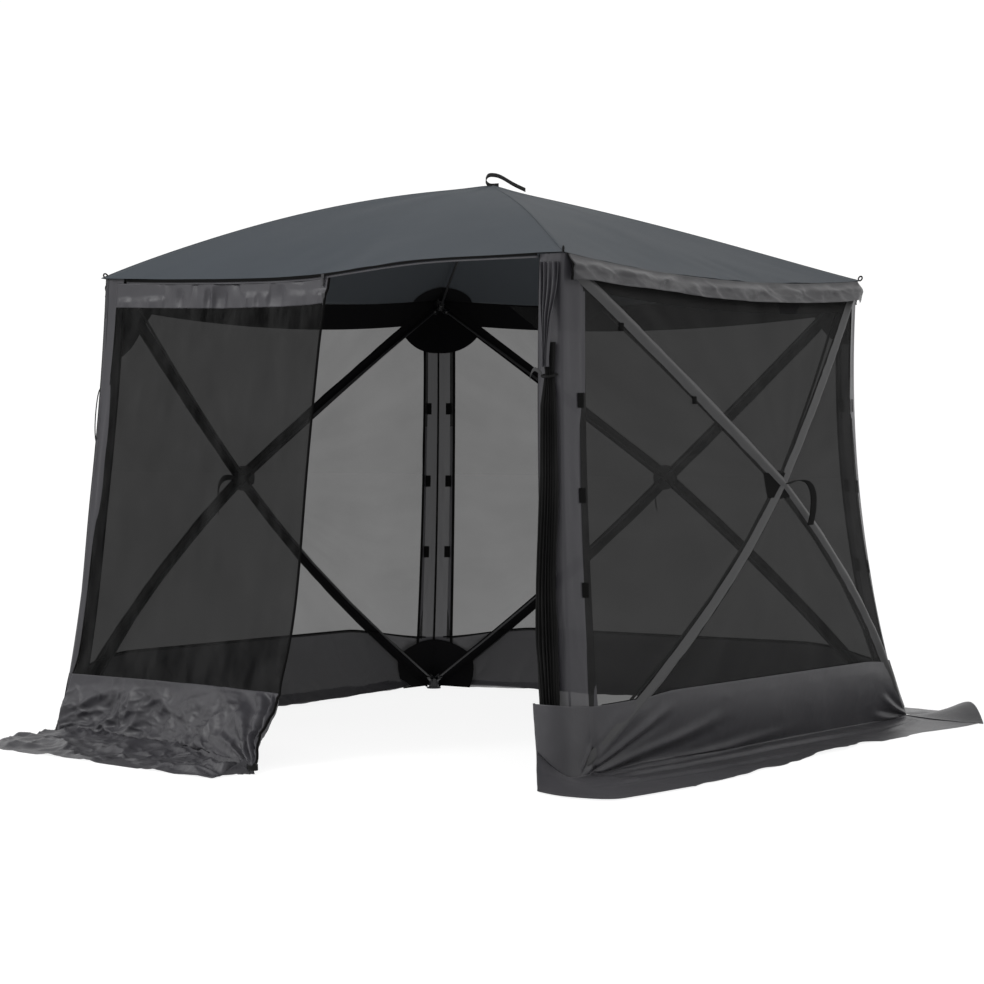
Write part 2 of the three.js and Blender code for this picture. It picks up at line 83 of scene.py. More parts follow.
TIE_HEIGHT = 1.44
PLAIN = (1, 1, 1)  # tint of a neutral grey
CLOTH = 0.001

# The stage
CAMERA_AT = (6.582, -9.153, 1.220)
CAMERA_AHEAD = (-0.5836, 0.8118, -0.0208)
LENS = 98.3
SENSOR = 36.0
FLOOR_HALF = 60.0
FLOOR_GREY = 0.17
AMBIENT = 1.04  # how bright the white surround is
FLOOR_GLOW = 0.85 * AMBIENT
LAMPS = {"key": ((-3.5, -6.5, 6.0), 380.0), "fill": ((7.0, 2.0, 5.5), 85.0)}  # place, watts
LAMP_WIDE = 3.0
LAMPS_AIM = Vector((0, 0, 0.9))


# ---- noise and folds


def hash01(ix, iy, seed):
    """A fixed random number from 0 to 1 for each whole-numbered place."""
    h = (ix * 374761393 + iy * 668265263 + seed * 974634777) & 0xFFFFFFFF
    h = ((h ^ (h >> 13)) * 1274126177) & 0xFFFFFFFF
    return ((h ^ (h >> 16)) & 0xFFFFFF) / float(0xFFFFFF)


def noise(x, y, seed):
    """Smooth noise from -1 to 1 with a cell of 1."""
    x, y = np.broadcast_arrays(np.asarray(x, float), np.asarray(y, float))
    ix, iy = np.floor(x).astype(np.int64), np.floor(y).astype(np.int64)
    fx, fy = x - ix, y - iy
    ux, uy = fx**3 * (fx * (fx * 6 - 15) + 10), fy**3 * (fy * (fy * 6 - 15) + 10)
    a, b = hash01(ix, iy, seed), hash01(ix + 1, iy, seed)
    c, d = hash01(ix, iy + 1, seed), hash01(ix + 1, iy + 1, seed)
    return 2 * ((a * (1 - ux) + b * ux) * (1 - uy) + (c * (1 - ux) + d * ux) * uy) - 1


def crease(n, sharp):
    """Noise turned into sharp creases between rounded valleys, from -1 to 1."""
    return 1 - 2 * np.sqrt(n * n + sharp * sharp)


def crumple(x, y, seed, octaves, sharp):
    """Creased noise in layers that get finer and turn as they go."""
    total, weight, size = 0.0, 0.0, 1.0
    for k in range(octaves):
        c, s = math.cos(0.9 * k + 0.4), math.sin(0.9 * k + 0.4)
        u, v = (x * c - y * s) / size, (x * s + y * c) / size
        warp = noise(u * 0.7 + 9.2, v * 0.7, seed + 5 + k)
        total = total + crease(noise(u + 0.5 * warp, v - 0.4 * warp, seed + 31 * k), sharp) * size
        weight += size
        size *= 0.55
    return total / weight


def rays(u, v, at, count, reach, seed):
    """Folds that spread from one gathered point and fade with distance."""
    du, dv = u - at[0], v - at[1]
    r = np.hypot(du, dv)
    angle = np.arctan2(dv, du)
    n = noise(angle * count / math.pi + 0.35 * noise(u * 3, v * 3, seed + 3), r * 1.1, seed)
    return crease(n, 0.12) * smooth(r, 0.0, 0.16) * np.exp(-((r / reach) ** 2))


def arch(t):
    return 4 * t * (1 - t)


def smooth(x, low, high):
    t = np.clip((x - low) / (high - low), 0, 1)
    return t * t * (3 - 2 * t)


def xyz(x, y, z):
    return np.stack(np.broadcast_arrays(np.asarray(x, float), y, z), -1)


def down(low, high, count):
    return np.linspace(low, high, count)[:, None]


def across(count, low=0.0, high=1.0):
    return np.linspace(low, high, count)[None, :]


def turned(points, side):
    """Points or a direction described on the east side, turned to another side."""
    points = np.asarray(points, float)
    c, s = ((1, 0), (0, 1), (-1, 0), (0, -1))[SIDES.index(side)]
    x, y, z = points[..., 0], points[..., 1], points[..., 2]
    return np.stack([c * x - s * y, s * x + c * y, z], -1)


def through(points, count):
    """A smooth run of points through a short given list of them."""
    p = np.asarray(points, float)
    p = np.concatenate([[2 * p[0] - p[1]], p, [2 * p[-1] - p[-2]]])
    spans = len(p) - 3
    t = np.linspace(0, spans, count)
    k = np.minimum(t.astype(int), spans - 1)
    f = (t - k)[:, None]
    a, b, c, d = p[k], p[k + 1], p[k + 2], p[k + 3]
    return 0.5 * (2 * b + (c - a) * f + (2 * a - 5 * b + 4 * c - d) * f**2
                  + (3 * b - a - 3 * c + d) * f**3)


# ---- mesh building


def grid_normals(points):
    rows = np.gradient(points, axis=0)
    along = np.gradient(points, axis=1)
    n = np.cross(along, rows)
    return n / np.maximum(np.linalg.norm(n, axis=-1, keepdims=True), 1e-9)


def pushed(points, amount, facing):
    """The grid moved along its own normals, which point the way that facing does."""
    n = grid_normals(points)
    flip = 1.0 if (n * np.asarray(facing, float)).sum(-1).mean() >= 0 else -1.0
    return points + n * flip * np.asarray(amount)[..., None]


def cloth_lengths(points):
    """Lengths in metres along the cloth, across and down, for every point of a grid."""
    rows, cols = points.shape[:2]
    du = np.linalg.norm(np.diff(points, axis=1), axis=-1).mean(0)
    dv = np.linalg.norm(np.diff(points, axis=0), axis=-1).mean(1)
    u = np.concatenate([[0], np.cumsum(du)])
    v = np.concatenate([[0], np.cumsum(dv)])
    return np.broadcast_to(u, (rows, cols)), np.broadcast_to(v[:, None], (rows, cols))


def added(name, data):
    """A new object in the scene."""
    obj = bpy.data.objects.new(name, data)
    bpy.context.scene.collection.objects.link(obj)
    return obj


def place(name, mesh, body, weight):
    """Put a mesh in the scene: hung on its body, except for the hubs and the left door, which stay
    unparented.
    """
    mesh.polygons.foreach_set("use_smooth", [True] * len(mesh.polygons))
    obj = added(name, mesh)
    if body in HUB_BODIES[1:]:
        weight = np.clip((np.asarray(weight) - POLE_PIVOT) / (1 - POLE_PIVOT), 0, 1)
    if body in HUB_BODIES or body == "door_left":
        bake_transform(obj)
    else:
        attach(obj, body)
    return obj


def make_cloth(name, patches, body="root", thick=0.0, wrap=False):
    """One piece of cloth from grids of points: (points, look, facing, weight) each.

    facing is the way a patch's outer face points. weight, how far each point would follow a moving body from
    0 to 1, is not used.
    """
    points, faces, spots, looks, weights = [], [], [], [], []
    start = 0
    for grid, look, facing, weight in patches:
        rows, cols = grid.shape[:2]
        index = np.arange(rows * cols).reshape(rows, cols)
        right = np.roll(index, -1, 1) if wrap else index[:, 1:]
        left = index if wrap else index[:, :-1]
        quads = np.stack([left[:-1], right[:-1], right[1:], left[1:]], -1)
        if (grid_normals(grid) * np.asarray(facing, float)).sum(-1).mean() > 0:
            quads = quads[..., ::-1]
        quads = quads.reshape(-1, 4)
        u, v = cloth_lengths(grid)
        spots.append(np.stack([u.ravel(), v.ravel()], -1)[quads.ravel()])
        faces.append(quads + start)
        points.append(grid.reshape(-1, 3))
        looks += [look] * len(quads)
        weights.append(np.broadcast_to(weight, (rows, cols)).ravel())
        start += rows * cols
    mesh = bpy.data.meshes.new(name)
    mesh.from_pydata(np.concatenate(points).tolist(), [], np.concatenate(faces).tolist())
    layer = mesh.uv_layers.new(name="cloth")
    layer.data.foreach_set("uv", np.concatenate(spots).astype(np.float32).ravel())
    names = list(dict.fromkeys(looks))
    for look in names:
        mesh.materials.append(LOOKS[look])
    mesh.polygons.foreach_set("material_index", [names.index(look) for look in looks])
    obj = place(name, mesh, body, np.concatenate(weights))
    if thick:
        shell = obj.modifiers.new("cloth thickness", "SOLIDIFY")
        shell.thickness = thick
        shell.offset = 0
    return obj


def make_tube(name, route, radius, look, body="root", sides=8, weight=0.0, closed=False):
    """A round cord, piping or rod along a list of points."""
    route = np.asarray(route, float)
    tangent = np.gradient(route, axis=0)
    if closed:
        tangent = np.roll(route, -1, 0) - np.roll(route, 1, 0)
    tangent /= np.maximum(np.linalg.norm(tangent, axis=1, keepdims=True), 1e-9)
    side = np.cross(tangent[0], [0.3, 0.2, 0.93])
    angle = np.arange(sides) * 2 * math.pi / sides
    rings = []
    for k, (point, ahead) in enumerate(zip(route, tangent)):
        side = side - ahead * (side @ ahead)
        side /= np.linalg.norm(side)
        ring = np.outer(np.cos(angle), side) + np.outer(np.sin(angle), np.cross(ahead, side))
        rings.append(point + ring * radius)
    count = len(rings)
    faces = []
    for k in range(count if closed else count - 1):
        a, b = k * sides, ((k + 1) % count) * sides
        faces += [(a + j, a + (j + 1) % sides, b + (j + 1) % sides, b + j) for j in range(sides)]
    if not closed:
        faces.append(tuple(reversed(range(sides))))
        faces.append(tuple((count - 1) * sides + j for j in range(sides)))
    mesh = bpy.data.meshes.new(name)
    mesh.from_pydata(np.concatenate(rings).tolist(), [], faces)
    mesh.materials.append(LOOKS[look])
    weights = np.repeat(np.broadcast_to(weight, count), sides)
    return place(name, mesh, body, weights)


def circle(centre, radius, along, up, turn):
    return centre + radius * (np.cos(turn) * np.array(along) + np.sin(turn) * np.array(up))


def make_strap(name, route, wide, width, look="webbing", body="root", weight=0.0):
    """Flat webbing along a smooth route; wide is the direction across it, one or one per point."""
    route = through(route, 12 * len(route))
    wide = np.broadcast_to(np.asarray(wide, float), route.shape)
    wide = wide / np.linalg.norm(wide, axis=1, keepdims=True)
    w = np.linspace(-0.5, 0.5, 5)[None, :, None]
    grid = route[:, None] + wide[:, None] * w * width
    return make_cloth(name, [(grid, look, (0, -1, 0.3), weight)], body=body, thick=0.0025)


# ---- materials


def fill(node, values):
    """Set a node's sockets directly."""
    for key, value in values.items():
        node.inputs[key].default_value = value


class Nodes:
    """A short way to add and link shader nodes in one material."""

    def __init__(self, name, slot):
        self.material = bpy.data.materials.new(name)
        self.material.use_nodes = True
        self.material["slot"] = slot
        self.tree = self.material.node_tree
        self.shader = self.tree.nodes["Principled BSDF"]

    def add(self, kind, **values):
        node = self.tree.nodes.new(kind)
        for key, value in values.items():
            setattr(node, key, value)
        return node

    def link(self, a, b):
        self.tree.links.new(a, b)

    def fed(self, kind, source, socket, values, **settings):
        """A node with one socket linked to a source and the others set."""
        node = self.add(kind, **settings)
        fill(node, values)
        self.link(source, node.inputs[socket])
        return node

    def noise(self, where, scale, detail=3.0, rough=0.55):
        values = {"Scale": scale, "Detail": detail, "Roughness": rough}
        return self.fed("ShaderNodeTexNoise", where, "Vector", values).outputs["Fac"]

    def stretched(self, where, scale):
        return self.fed("ShaderNodeMapping", where, "Vector", {"Scale": scale}).outputs["Vector"]

    def span(self, value, low, high, start=0.3, end=0.7):
        values = {"From Min": start, "From Max": end, "To Min": low, "To Max": high}
        return self.fed("ShaderNodeMapRange", value, "Value", values).outputs["Result"]

    def math(self, operation, a, b):
        node = self.add("ShaderNodeMath", operation=operation)
        self.link(a, node.inputs[0])
        self.link(b, node.inputs[1])
        return node.outputs[0]

    def between(self, factor, dark, light):
        values = {6: [*dark, 1.0], 7: [*light, 1.0]}
        return self.fed("ShaderNodeMix", factor, "Factor", values, data_type="RGBA").outputs[2]

    def weave(self, uv, pitch):
        """Height of a plain weave whose threads cross at a pitch in metres."""
        waves = []
        for direction in ("X", "Y"):
            values = {"Scale": 0.314 / pitch, "Distortion": 0.0}
            waves.append(self.fed("ShaderNodeTexWave", uv, "Vector", values, bands_direction=direction,
                                  wave_profile="SIN").outputs["Fac"])
        return self.math("MAXIMUM", *waves)

    def relief(self, height, strength, distance):
        return self.fed("ShaderNodeBump", height, "Height", {"Strength": strength, "Distance": distance})


def fabric(name, slot, color, rough=0.6, pitch=0.0009, tone=0.10, gloss=0.2, sheen=0.03, wrinkle=0.25,
           solid=1.0):
    """Woven coated cloth: a weave and soft wrinkles in the bump, cloudy tone, a dull gloss."""
    m = Nodes(name, slot)
    coords = m.add("ShaderNodeTexCoord")
    uv, where = coords.outputs["UV"], coords.outputs["Object"]
    cloud = m.noise(where, 2.2, 4.0)
    grain = m.noise(where, 260.0, 2.0)
    tint = m.math("MULTIPLY", m.span(cloud, 1 - tone, 1 + tone), m.span(grain, 0.94, 1.06))
    shade = m.span(tint, 0.0, 1.0, 0.5, 1.5)
    m.link(m.between(shade, [c * 0.5 for c in color], [c * 1.5 for c in color]),
           m.shader.inputs["Base Color"])
    m.link(m.span(cloud, rough - 0.05, rough + 0.05), m.shader.inputs["Roughness"])
    weave = m.relief(m.weave(uv, pitch), 0.25, 0.0003)
    soft = m.relief(m.noise(where, 16.0, 5.0, 0.6), wrinkle, 0.006)
    m.link(weave.outputs["Normal"], soft.inputs["Normal"])
    m.link(soft.outputs["Normal"], m.shader.inputs["Normal"])
    fill(m.shader, {"Sheen Weight": sheen, "Sheen Roughness": 0.4, "Specular IOR Level": gloss,
                    "Alpha": solid})
    return m.material


def netting(name, slot, dark, light, solid, drift, streaks=(9.0, 1.1, 1.0)):
    """See-through insect mesh: threads that cover most of the view, with streaks of slack that thicken it,
    and a painted sheen and shade along the streaks in its colour.
    """
    m = Nodes(name, slot)
    coords = m.add("ShaderNodeTexCoord")
    uv, where = coords.outputs["UV"], coords.outputs["Object"]
    slack = m.noise(m.stretched(uv, streaks), 1.0, 5.0, 0.6)
    cloud = m.noise(where, 3.0)
    cover = m.math("ADD", m.span(m.weave(uv, 0.0016), solid - 0.04, solid + 0.03, 0.0, 1.0),
                   m.span(slack, -drift, drift))
    m.link(m.math("ADD", cover, m.span(cloud, -0.008, 0.008)), m.shader.inputs["Alpha"])
    # Painted sheen and shade: the colour runs from dark to light along the slack streaks, like lit and shaded
    # folds.
    m.link(m.between(m.span(slack, 0.0, 1.0), dark, light), m.shader.inputs["Base Color"])
    fill(m.shader, {"Roughness": 0.8, "Specular IOR Level": 0.0})
    return m.material


def moulded(name, slot, color, rough, metallic=0.0):
    """Moulded plastic, rod or lacquered metal with a fine uneven skin."""
    m = Nodes(name, slot)
    where = m.add("ShaderNodeTexCoord").outputs["Object"]
    skin = m.noise(where, 60.0)
    wear = m.noise(where, 12.0, 4.0)
    m.link(m.between(m.span(wear, 0, 1), [c * 0.75 for c in color], [c * 1.4 for c in color]),
           m.shader.inputs["Base Color"])
    m.link(m.span(skin, rough - 0.08, rough + 0.1), m.shader.inputs["Roughness"])
    m.link(m.relief(skin, 0.15, 0.0006).outputs["Normal"], m.shader.inputs["Normal"])
    fill(m.shader, {"Metallic": metallic})
    return m.material


def grey(scale, tint=(1.0, 0.97, 1.10)):
    return [scale * c for c in tint]


LOOKS = {
    "roof": fabric("roof_cloth", "roof_fabric", (0.033, 0.039, 0.046), 0.7, tone=0.05, gloss=0.1,
                   wrinkle=0.12, solid=0.995),
    "grey": fabric("grey_cloth", "grey_fabric", grey(0.025, (1.0, 0.97, 1.14)), 0.42, gloss=0.34,
                   solid=0.962),
    "skirt": fabric("skirt_cloth", "grey_fabric", grey(0.025, (1.0, 0.97, 1.12)), 0.42, gloss=0.34,
                    solid=0.984),
    # The valance is the grey fabric made darker than the walls' grey: painted shade, a shaded copy of that
    # cloth.
    "valance": fabric("valance_painted_shade_cloth", "grey_fabric", grey(0.019), 0.45, tone=0.08, gloss=0.35),
    "sleeve": fabric("sleeve_cloth", "grey_fabric", grey(0.046, (1, 1, 1.02)), 0.62, tone=0.06),
    # Grey cloth made near black. On the sleeves' inner faces it is black tape and painted shade together; it
    # also makes the corner pads, the band under the eave and the roof's corner pads.
    "dark": fabric("dark_cloth", "grey_fabric", grey(0.004), 0.8, gloss=0.05),
    "black": fabric("black_binding", "webbing", grey(0.003, PLAIN), 0.8, gloss=0.05, sheen=0.01),
    "webbing": fabric("black_webbing", "webbing", grey(0.004, PLAIN), 0.6, pitch=0.003, gloss=0.1),
    "mesh": netting("wall_mesh", "mesh_fabric", grey(0.014, PLAIN), grey(0.024, PLAIN), 0.838, 0.010),
    "door_mesh": netting("door_mesh", "mesh_fabric", grey(0.002, PLAIN), grey(0.018, PLAIN), 0.820, 0.042,
                         (13.0, 4.0, 1.0)),
    "gathered": fabric("gathered_mesh", "mesh_fabric", grey(0.009, PLAIN), 0.8, tone=0.5, gloss=0.05),
    "plastic": moulded("black_plastic", "plastic", (0.010, 0.010, 0.011), 0.42),
    "rod": moulded("fibreglass_rod", "fibreglass", (0.010, 0.010, 0.011), 0.45),
    "metal": moulded("lacquered_metal", "zip_metal", (0.03, 0.03, 0.032), 0.32, metallic=0.6),
    "eyelet": moulded("bright_eyelet", "zip_metal", (0.55, 0.55, 0.56), 0.25, metallic=0.9),
}


# ---- the walls' shapes


def corner_half(z, corner):
    t = np.asarray(z) / EAVE
    return BASE_HALF - LEAN * t - DRAW[corner] * arch(t) + PUSHED_OUT[corner] * smooth(z, 0.35, 1.0)


def corner_at(side, hand):
    """The corner at the left (-1) or right (1) of a side, seen from outside."""
    spot = turned((1.0, hand, 0.0), side)
    return next(n for n, s in CORNERS.items() if s == (round(spot[0]), round(spot[1])))


def door_plane(z):
    return -(BASE_HALF - LEAN * z / EAVE)


def ridge(t, hand, top):
    """The cloth over a wall pole, from the corner (t = 0) to the hub (t = 1), east side."""
    half, height, bow = (TOP_HALF, EAVE, BOW_TOP) if top else (BASE_HALF, 0.0, BOW_BOTTOM)
    x = half + (HUB_OUT - half) * t + bow * arch(t)
    return xyz(x, hand * half * (1 - t), height + (HUB_HEIGHT - height) * t)


def gore_side(t, s, hand, side):
    t, s = np.broadcast_arrays(t, s)
    pull = -DRAW[corner_at(side, hand)] * arch(s) * (1 - t)
    base = ridge(t, hand, False) * (1 - s[..., None]) + ridge(t, hand, True) * s[..., None]
    return base + xyz(pull, hand * pull, 0 * pull)


def gore_top(t, s, side):
    t, s = np.broadcast_arrays(t, s)
    base = ridge(t, -1, True) * (1 - s[..., None]) + ridge(t, 1, True) * s[..., None]
    return base + xyz(0, 0, -SAG[side] * arch(s) * (1 - t))


def gore_bottom(t, s):
    t, s = np.broadcast_arrays(t, s)
    return ridge(t, -1, False) * (1 - s[..., None]) + ridge(t, 1, False) * s[..., None]


def wall_shape(side, y, z):
    """A hub wall's x at places y along it and z up, on the east side, and its pull by the hub."""
    y, z = np.broadcast_arrays(np.asarray(y, float), np.asarray(z, float))
    draw = np.where(y < 0, DRAW[corner_at(side, -1)], DRAW[corner_at(side, 1)])
    pull = np.zeros_like(y)
    for _ in range(5):
        q = (np.abs(y) - pull + LEAN * (z - HUB_HEIGHT) / EAVE) / (BASE_HALF - LEAN * HUB_HEIGHT / EAVE)
        s = np.clip((z - HUB_HEIGHT * (1 - q)) / (EAVE * np.maximum(q, 1e-3)), 0, 1)
        pull = -draw * arch(s) * q
    bow = (BOW_BOTTOM + (BOW_TOP - BOW_BOTTOM) * s) * arch(1 - q)
    x = (BASE_HALF - LEAN * s) * q + HUB_OUT * (1 - q) + bow + pull
    t = 1 - q
    for half, height, flare, sag in ((TOP_HALF, EAVE, BOW_TOP, SAG[side]), (BASE_HALF, 0.0, BOW_BOTTOM, 0.0)):
        q = (z - HUB_HEIGHT) / (height - HUB_HEIGHT)
        along = np.clip((y / (half * np.maximum(q, 1e-3)) + 1) / 2, 0, 1)
        q = q + sag * arch(along) * q / (height - HUB_HEIGHT)
        inside = (q > 0) & (np.abs(y) <= half * q)
        x = np.where(inside, half * q + HUB_OUT * (1 - q) + flare * arch(1 - q), x)
        t = np.where(inside, 1 - q, t)
    return x, np.clip(t, 0, 1)


def wall_at(side, y, z, lift=0.0):
    """Points of a hub wall at places y along it and z up, and how far they follow the hub."""
    x, t = wall_shape(side, y, z)
    return turned(xyz(x + lift, y, z), side), t


def outward(side):
    return turned((1.0, 0.0, 0.0), side)


def eave_sag(side, s):
    """How far the eave hangs below a straight line between its corners."""
    sag = SAG[side] * arch(s)
    return sag * (1 - smooth(s, 0.45, 0.80)) if side == "south" else sag


def eave_lift(side, s):
    """How far the eave is pulled up towards its two corners."""
    left, right = (RAISED[corner_at(side, hand)] for hand in (-1, 1))
    return left + (right - left) * smooth(s, 0.35, 0.75)


def skirt_top(side, inset):
    """Height of a skirt's upper edge, which dips where it meets a corner."""
    return SKIRT + SKIRT_RISE[side] * smooth(inset, 0.0, 0.5)


# ---- hub walls


def mesh_walls():
    """The see-through gores of the three hub walls."""
    for side in HUB_SIDES:
        gores = []
        for name, hand in (("left", -1), ("right", 1)):
            corner = corner_at(side, hand)
            t = down(COLUMN_WIDE[corner] * 0.8 / BASE_HALF, 0.975, 60)
            low, high = (ridge(t, hand, top)[..., 2] for top in (False, True))
            start = np.maximum(0.0, (skirt_top(side, BASE_HALF * t) - 0.012 - low) / (high - low))
            s = start + (1 - start) * across(48)
            t = np.broadcast_to(t, s.shape)
            strain = 0.004 * noise(5 * s, 2.0 * t, 5)
            gores.append((name, t, s, gore_side(t, s, hand, side), strain, (1.62, 1.10), 0.98,
                          f"column_{corner}_cloth"))
        s = across(64)
        low = (skirt_top(side, 1.22 * np.minimum(s, 1 - s) * 1.55 + 0.30) - 0.012) / HUB_HEIGHT
        t, up_t = down(0.0, APEX, 50), low + (APEX - low) * down(0.0, 1.0, 40)
        gores.append(("top", t, s, gore_top(t, s, side), 0.004 * noise(8 * s, 2 * t, 6), (2.24, 0.88), 0.99,
                      "roof_cloth"))
        gores.append(("bottom", up_t, s, gore_bottom(up_t, s), 0.004 * noise(8 * s, 2 * up_t, 6),
                      (1.95, 0.80), 0.77, f"skirt_{side}_cloth"))
        for name, t, s, points, strain, size, area, neighbour in gores:
            points = turned(pushed(points, strain * (1 - t) * arch(s), (1, 0, 0)), side)
            wall = make_cloth(f"mesh_{side}_{name}_cloth", [(points, "mesh", outward(side), t)],
                              body=f"{side}_hub")
            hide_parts(f"mesh_{side}_{name}")


def sleeves():
    """Strips of cloth over the wall poles outside the mesh, and black tape inside it; the tape's near-black
    colour is also painted shade of the sleeve and pole.
    """
    for side in HUB_SIDES:
        for k, (name, hand, top) in enumerate((("top_left", -1, True), ("bottom_right", 1, False),
                                               ("top_right", 1, True), ("bottom_left", -1, False))):
            t = np.linspace(0.060 if top else 0.02, 1.0, 100)
            line = ridge(t, hand, top)
            along = np.gradient(line, axis=0)
            along /= np.linalg.norm(along, axis=1, keepdims=True)
            wide = np.cross(along, [1.0, 0, 0])
            wide /= np.linalg.norm(wide, axis=1, keepdims=True)
            out = np.cross(wide, along)
            out *= np.sign(out[:, :1])
            w = np.linspace(-1, 1, 13)
            half = 0.0262 + 0.0015 * noise(t * 11, 0.0, 11 + k)[:, None]
            swell = 0.005 * np.exp(-((w / 0.45) ** 2)) + 0.0022 * (4 - k)
            ripple = 0.0012 * noise(t[:, None] * 30, w[None] * 2.0, 12 + k)
            slope = -0.011 * np.abs(w) ** 1.3
            outer = line[:, None] + wide[:, None] * (half * w)[..., None]
            outer = outer + out[:, None] * (swell + ripple + slope)[..., None]
            inner = line[:, None] + wide[:, None] * (0.026 * w[None, :, None])
            inner = inner - out[:, None] * (0.004 + 0.011 * np.abs(w) ** 1.3 + 0 * t[:, None])[..., None]
            weight = t[:, None]
            strip = make_cloth(f"sleeve_{side}_{name}", [
                (turned(outer, side), "sleeve", outward(side), weight),
                # Inner face: black tape, kept near black also as painted shade where the sleeve and pole
                # shade it.
                (turned(inner, side), "dark", -outward(side), weight),
            ], body=f"{side}_hub")


def hub_patches():
    """A black patch sewn over each wall's apex, under the sleeves."""
    for side in HUB_SIDES:
        low, high = (-0.125, 0.030) if side == "east" else (-HUB_PATCH / 2, HUB_PATCH / 2)
        y, z = across(25, low, high), HUB_HEIGHT + down(-HUB_PATCH / 2, HUB_PATCH / 2, 17)
        points, weight = wall_at(side, y, z, 0.0025)
        patch = make_cloth(f"hub_patch_{side}", [(points, "black", outward(side), weight)],
                           body=f"{side}_hub")


def corner_pads():
    """Quarter-round reinforcements inside every corner, top and bottom, and a band under the eave."""
    for side in HUB_SIDES:
        patches = []
        for hand in (-1, 1):
            corner = corner_at(side, hand)
            top_radius = 0.330 if (side, corner) == ("west", "sw") else 0.245
            for radius, up in ((top_radius, -1), (0.225, 1)):
                d, angle = down(0.004, radius, 14), across(22, 0.0, math.pi / 2)
                sag = SAG[side] * arch(d * np.cos(angle) / (2 * TOP_HALF))
                z = (EAVE - sag - 0.004 if up < 0 else 0.010) + up * d * np.sin(angle)
                y = hand * (corner_half(z, corner) - d * np.cos(angle))
                points, weight = wall_at(side, y, z, -0.0045)
                patches.append((points, "dark", -outward(side), weight))
        s, drop = across(90, 0.004, 0.996), down(-0.008, BINDING, 6)
        y = (2 * s - 1) * TOP_HALF
        z = EAVE - SAG[side] * arch(s) - 0.002 - drop
        points, weight = wall_at(side, y, z, -0.0030)
        patches.append((points, "dark", -outward(side), weight))
        pads = make_cloth(f"inner_binding_{side}", patches, body=f"{side}_hub")


def columns():
    """Strips either side of each corner seam, wrinkled lengthwise, with bindings and tabs."""
    for corner, (sx, sy) in CORNERS.items():
        walls = [(side, hand) for side in SIDES for hand in (-1, 1) if corner_at(side, hand) == corner]
        walls.sort(key=lambda wall: wall[0] == "south")
        wide = COLUMN_WIDE[corner]
        z = down(0.012, EAVE - 0.004, 190)

        def strip(side, hand, a, lift, z=z):
            if side != "south":
                return wall_at(side, hand * (corner_half(z, corner) - a), z, lift)[0]
            x = hand * (corner_half(z, corner) - a)
            drawn = DRAW[corner] * arch(z / EAVE) * (1 - a / 0.4)
            pushed_out = PUSHED_OUT[corner] * smooth(z, 0.35, 1.0) * (1 - a / 0.13)
            return turned(xyz(-door_plane(z) - drawn + pushed_out + lift, x, z), side)

        halves = []
        for flip, (side, hand) in zip((-1, 1), walls):
            a = across(14, 0.0, wide)
            points = strip(side, hand, a, 0.0)
            pucker = 0.0030 * noise(a * 34 + 0.6 * noise(z * 2, 0 * a, 44), z * 1.7, 40 + sx + 3 * sy)
            pucker = pucker + 0.0018 * noise(a * 60 + z * 2, z * 6.0, 41)
            points = points + outward(side) * (0.002 + pucker * (1 - (1 - a / wide) ** 6))[..., None]
            halves.append(points[:, ::-1] if flip < 0 else points[:, 1:])
        patches = [(np.concatenate(halves, 1), "grey", (sx, sy, 0), 0.0)]
        for side, hand in walls:
            for a0, a1 in ((0.0, 0.007), (wide - 0.008, wide + 0.004)):
                points = strip(side, hand, across(4, a0, a1), -0.0035)
                patches.append((points, "black", -outward(side), 0.0))
            for height in (1.35, 1.005, 0.665):
                spot = down(height - 0.027, height + 0.027, 6)
                a = across(4, wide - 0.040, wide - 0.014)
                for lift in (-0.0050,) if side == "south" else (0.0055, -0.0050):
                    points = strip(side, hand, a, lift, spot)
                    patches.append((points, "black", outward(side) * np.sign(lift), 0.0))
        for points, *_ in patches:
            points[..., 2] += RAISED[corner] * smooth(points[..., 2], 1.45, EAVE)
        cloth = make_cloth(f"column_{corner}_cloth", patches)
        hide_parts(f"column_{corner}")


# ---- skirts

# The foot of the skirt round the south-east corner, from the east wall round to the door: its
# upper edge, its fold near the ground and its hem on the ground.
BOOT_TOP = [(1.262, -1.275, 0.262), (1.235, -1.325, 0.268), (1.190, -1.342, 0.270),
            (1.140, -1.332, 0.270), (1.125, -1.300, 0.268)]
BOOT_FOOT = [(1.300, -1.300, 0.012), (1.285, -1.345, 0.022), (1.235, -1.365, 0.058),
             (1.172, -1.352, 0.100), (1.160, -1.322, 0.100)]
BOOT_HEM = [(1.706, -1.520, 0.002), (1.672, -1.650, 0.002), (1.520, -1.680, 0.002),
            (1.376, -1.631, 0.002), (1.345, -1.600, 0.004)]
# The same round the north-east corner, where the flap's end stands up a little.
APRON_TOP = [(1.226, 1.230, 0.255), (1.205, 1.236, 0.255), (1.175, 1.236, 0.255)]
APRON_FOOT = [(1.280, 1.284, 0.014), (1.270, 1.290, 0.014), (1.240, 1.288, 0.014)]
APRON_HEM = [(1.638, 1.290, 0.004), (1.500, 1.450, 0.070), (1.300, 1.560, 0.006)]
EAST_HEM = [(-1.20, 1.720), (-0.90, 1.705), (-0.20, 1.635), (0.33, 1.585), (0.88, 1.590), (1.27, 1.632)]
WEST_TUCK = 0.125  # how far the west skirt's foot is pushed in, mid-wall
